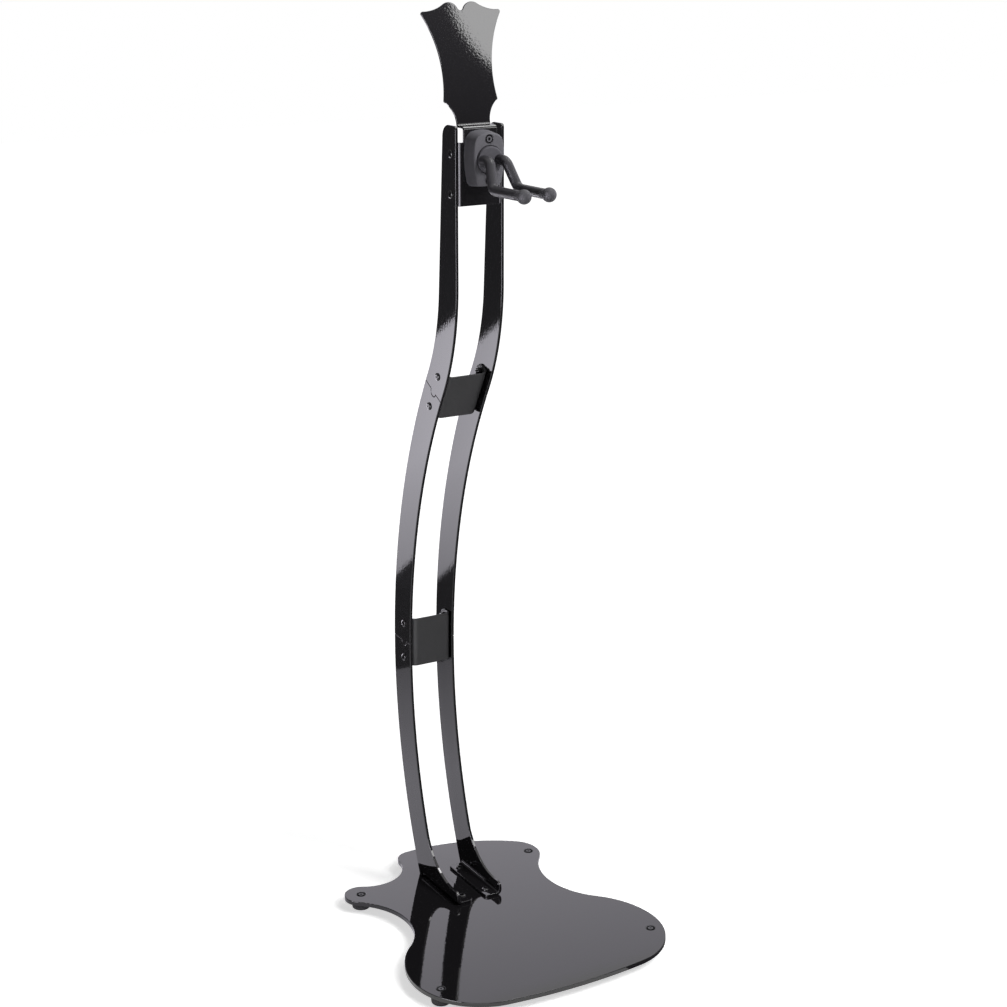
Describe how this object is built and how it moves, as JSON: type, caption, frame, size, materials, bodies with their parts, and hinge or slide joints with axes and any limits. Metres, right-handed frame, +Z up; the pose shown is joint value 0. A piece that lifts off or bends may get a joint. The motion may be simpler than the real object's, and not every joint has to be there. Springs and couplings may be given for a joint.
{
  "type": "guitar stand",
  "caption": "Tall display guitar stand: guitar-shaped base plate on rubber feet, twin curved flat rails bolted in lengths, headstock-shaped top panel and a swivelling neck fork.",
  "frame": {"origin": "on the floor, below the centre of the base plate's outline", "axes": "+X across the stand to the right as seen from the front, -Y is the front where the guitar hangs, +Z is up"},
  "size_m": [0.38, 0.4572, 1.2717],
  "materials": {
    "gloss_black_steel": "high gloss black paint",
    "satin_black_steel": "satin black powder coat",
    "black_fasteners": "black zinc plated steel",
    "foot_rubber": "matte moulded rubber",
    "moulded_plastic": "matte moulded plastic",
    "rod_steel": "bright drawn steel",
    "prong_rubber": "matte soft rubber"
  },
  "bodies": {
    "stand": {"base_plate": "gloss_black_steel", "left_lower_rail": "gloss_black_steel", "left_middle_rail": "gloss_black_steel", "left_upper_rail": "gloss_black_steel", "right_lower_rail": "gloss_black_steel", "right_middle_rail": "gloss_black_steel", "right_upper_rail": "gloss_black_steel", "headstock_carrier": "gloss_black_steel", "lower_splice_bracket": "satin_black_steel", "upper_splice_bracket": "satin_black_steel", "foot_screws": "black_fasteners", "foot_washers": "black_fasteners", "foot_nuts": "black_fasteners", "rail_foot_screws": "black_fasteners", "rail_foot_nuts": "black_fasteners", "lower_splice_screws": "black_fasteners", "lower_splice_nuts": "black_fasteners", "upper_splice_screws": "black_fasteners", "upper_splice_nuts": "black_fasteners", "carrier_screws": "black_fasteners", "carrier_nuts": "black_fasteners", "yoke_block_screws": "black_fasteners", "yoke_block_nuts": "black_fasteners", "foot_front_left": "foot_rubber", "foot_front_right": "foot_rubber", "foot_rear_left": "foot_rubber", "foot_rear_right": "foot_rubber", "yoke_block": "moulded_plastic"},
    "yoke": {"yoke_turret": "moulded_plastic", "pivot_washer": "black_fasteners", "pivot_screw": "black_fasteners"},
    "left_prong": {"left_prong_rod": "rod_steel", "left_prong_sleeve": "prong_rubber", "left_prong_cap": "prong_rubber"},
    "right_prong": {"right_prong_rod": "rod_steel", "right_prong_sleeve": "prong_rubber", "right_prong_cap": "prong_rubber"}
  },
  "joints": [
    {"name": "yoke_swivel", "type": "hinge", "parent": "stand", "child": "yoke", "pos_m": [0, 0.0095, 1.0793], "axis": [0, -1, 0], "range_deg": [-30, 30]},
    {"name": "left_prong_swing", "type": "hinge", "parent": "yoke", "child": "left_prong", "pos_m": [-0.0117, 0.005, 1.0798], "axis": [0, 1, 0], "range_deg": [0, 45]},
    {"name": "right_prong_swing", "type": "hinge", "parent": "yoke", "child": "right_prong", "pos_m": [0.0117, 0.005, 1.0798], "axis": [0, -1, 0], "range_deg": [0, 45]}
  ]
}
